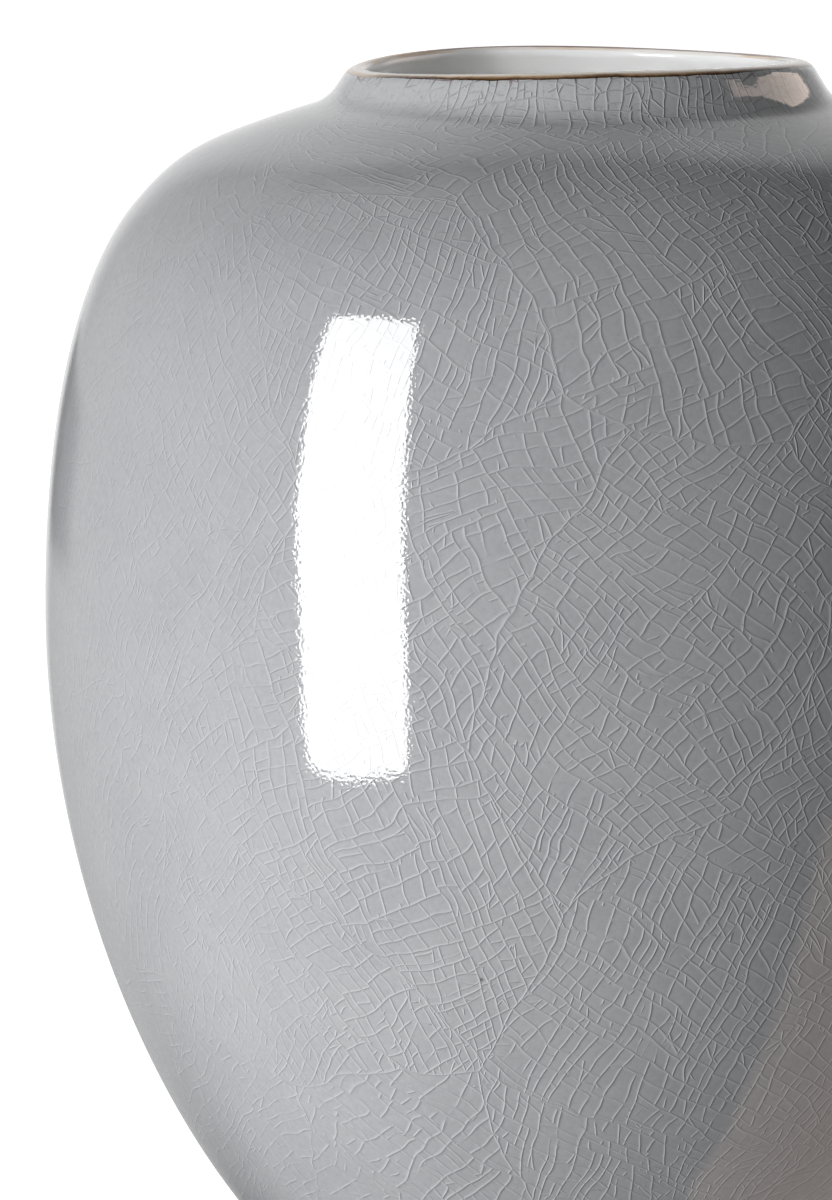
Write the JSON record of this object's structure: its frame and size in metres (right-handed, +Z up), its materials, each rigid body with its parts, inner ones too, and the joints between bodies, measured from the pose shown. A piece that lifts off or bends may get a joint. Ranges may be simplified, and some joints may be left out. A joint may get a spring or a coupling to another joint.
{
  "type": "floor vase",
  "caption": "Tall ovoid floor vase with grey crackle glaze, a short conical neck, a brown uneven lip, a white glazed inside and a foot ring on felt pads.",
  "frame": {"origin": "on the vase's axis, in the plane of the felt pads' undersides, which is the floor it stands on", "axes": "+Z up along the vase's axis; the picture was taken from the -Y side, with +X to its right"},
  "size_m": [0.42, 0.42, 0.5017],
  "materials": {
    "clay": "unglazed stoneware, matt and slightly gritty",
    "grey_glaze": "high gloss, pale grey, with a net of fine craze lines",
    "brown_wash": "glossy tan to iron brown, darker where it meets the grey glaze",
    "white_glaze": "glossy, plain off-white",
    "felt": "dense grey-brown wool felt"
  },
  "bodies": {
    "root": {"foot_ring": "clay", "lower_body": "clay", "upper_body": "clay", "neck_collar": "clay", "crackle_glaze": "grey_glaze", "lip_wash": "brown_wash", "liner_glaze": "white_glaze", "base_glaze": "white_glaze", "felt_pad_1": "felt", "felt_pad_2": "felt", "felt_pad_3": "felt", "felt_pad_4": "felt"}
  },
  "joints": []
}
